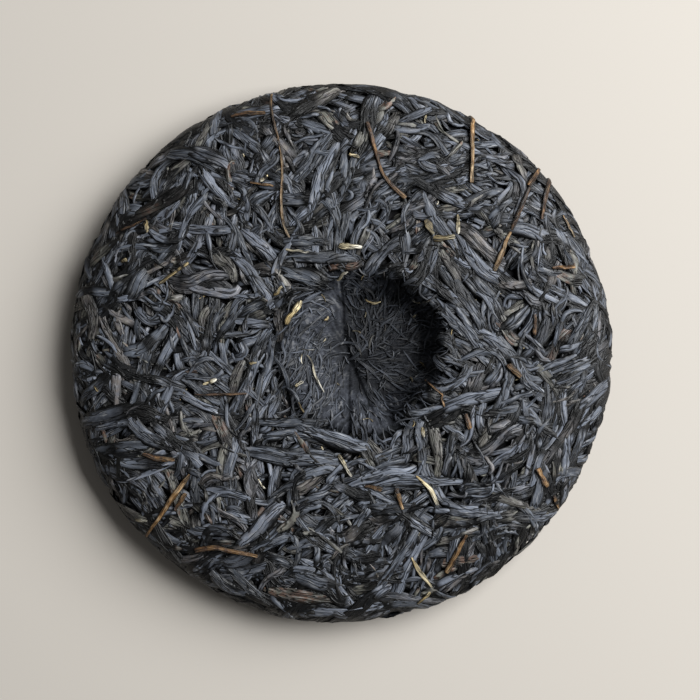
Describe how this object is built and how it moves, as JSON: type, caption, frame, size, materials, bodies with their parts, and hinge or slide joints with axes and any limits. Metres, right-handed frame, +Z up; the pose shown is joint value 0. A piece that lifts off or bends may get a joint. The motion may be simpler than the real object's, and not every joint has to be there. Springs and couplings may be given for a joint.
{
  "type": "pressed tea cake",
  "caption": "Round cake of pressed dark tea leaves with a domed front face, a rounded rim and an off-centre hollow in its back face.",
  "frame": {"origin": "centre of the flat spot on the domed front face that the cake rests on", "axes": "+Z up through the cake's thickness, out of the back face with the hollow; the hollow lies off centre towards +X"},
  "size_m": [0.2008, 0.1982, 0.0238],
  "materials": {
    "pressed_leaf": "matte",
    "stem": "matte",
    "bud": "matte"
  },
  "bodies": {
    "root": {"tea_cake": "pressed_leaf"}
  },
  "joints": []
}
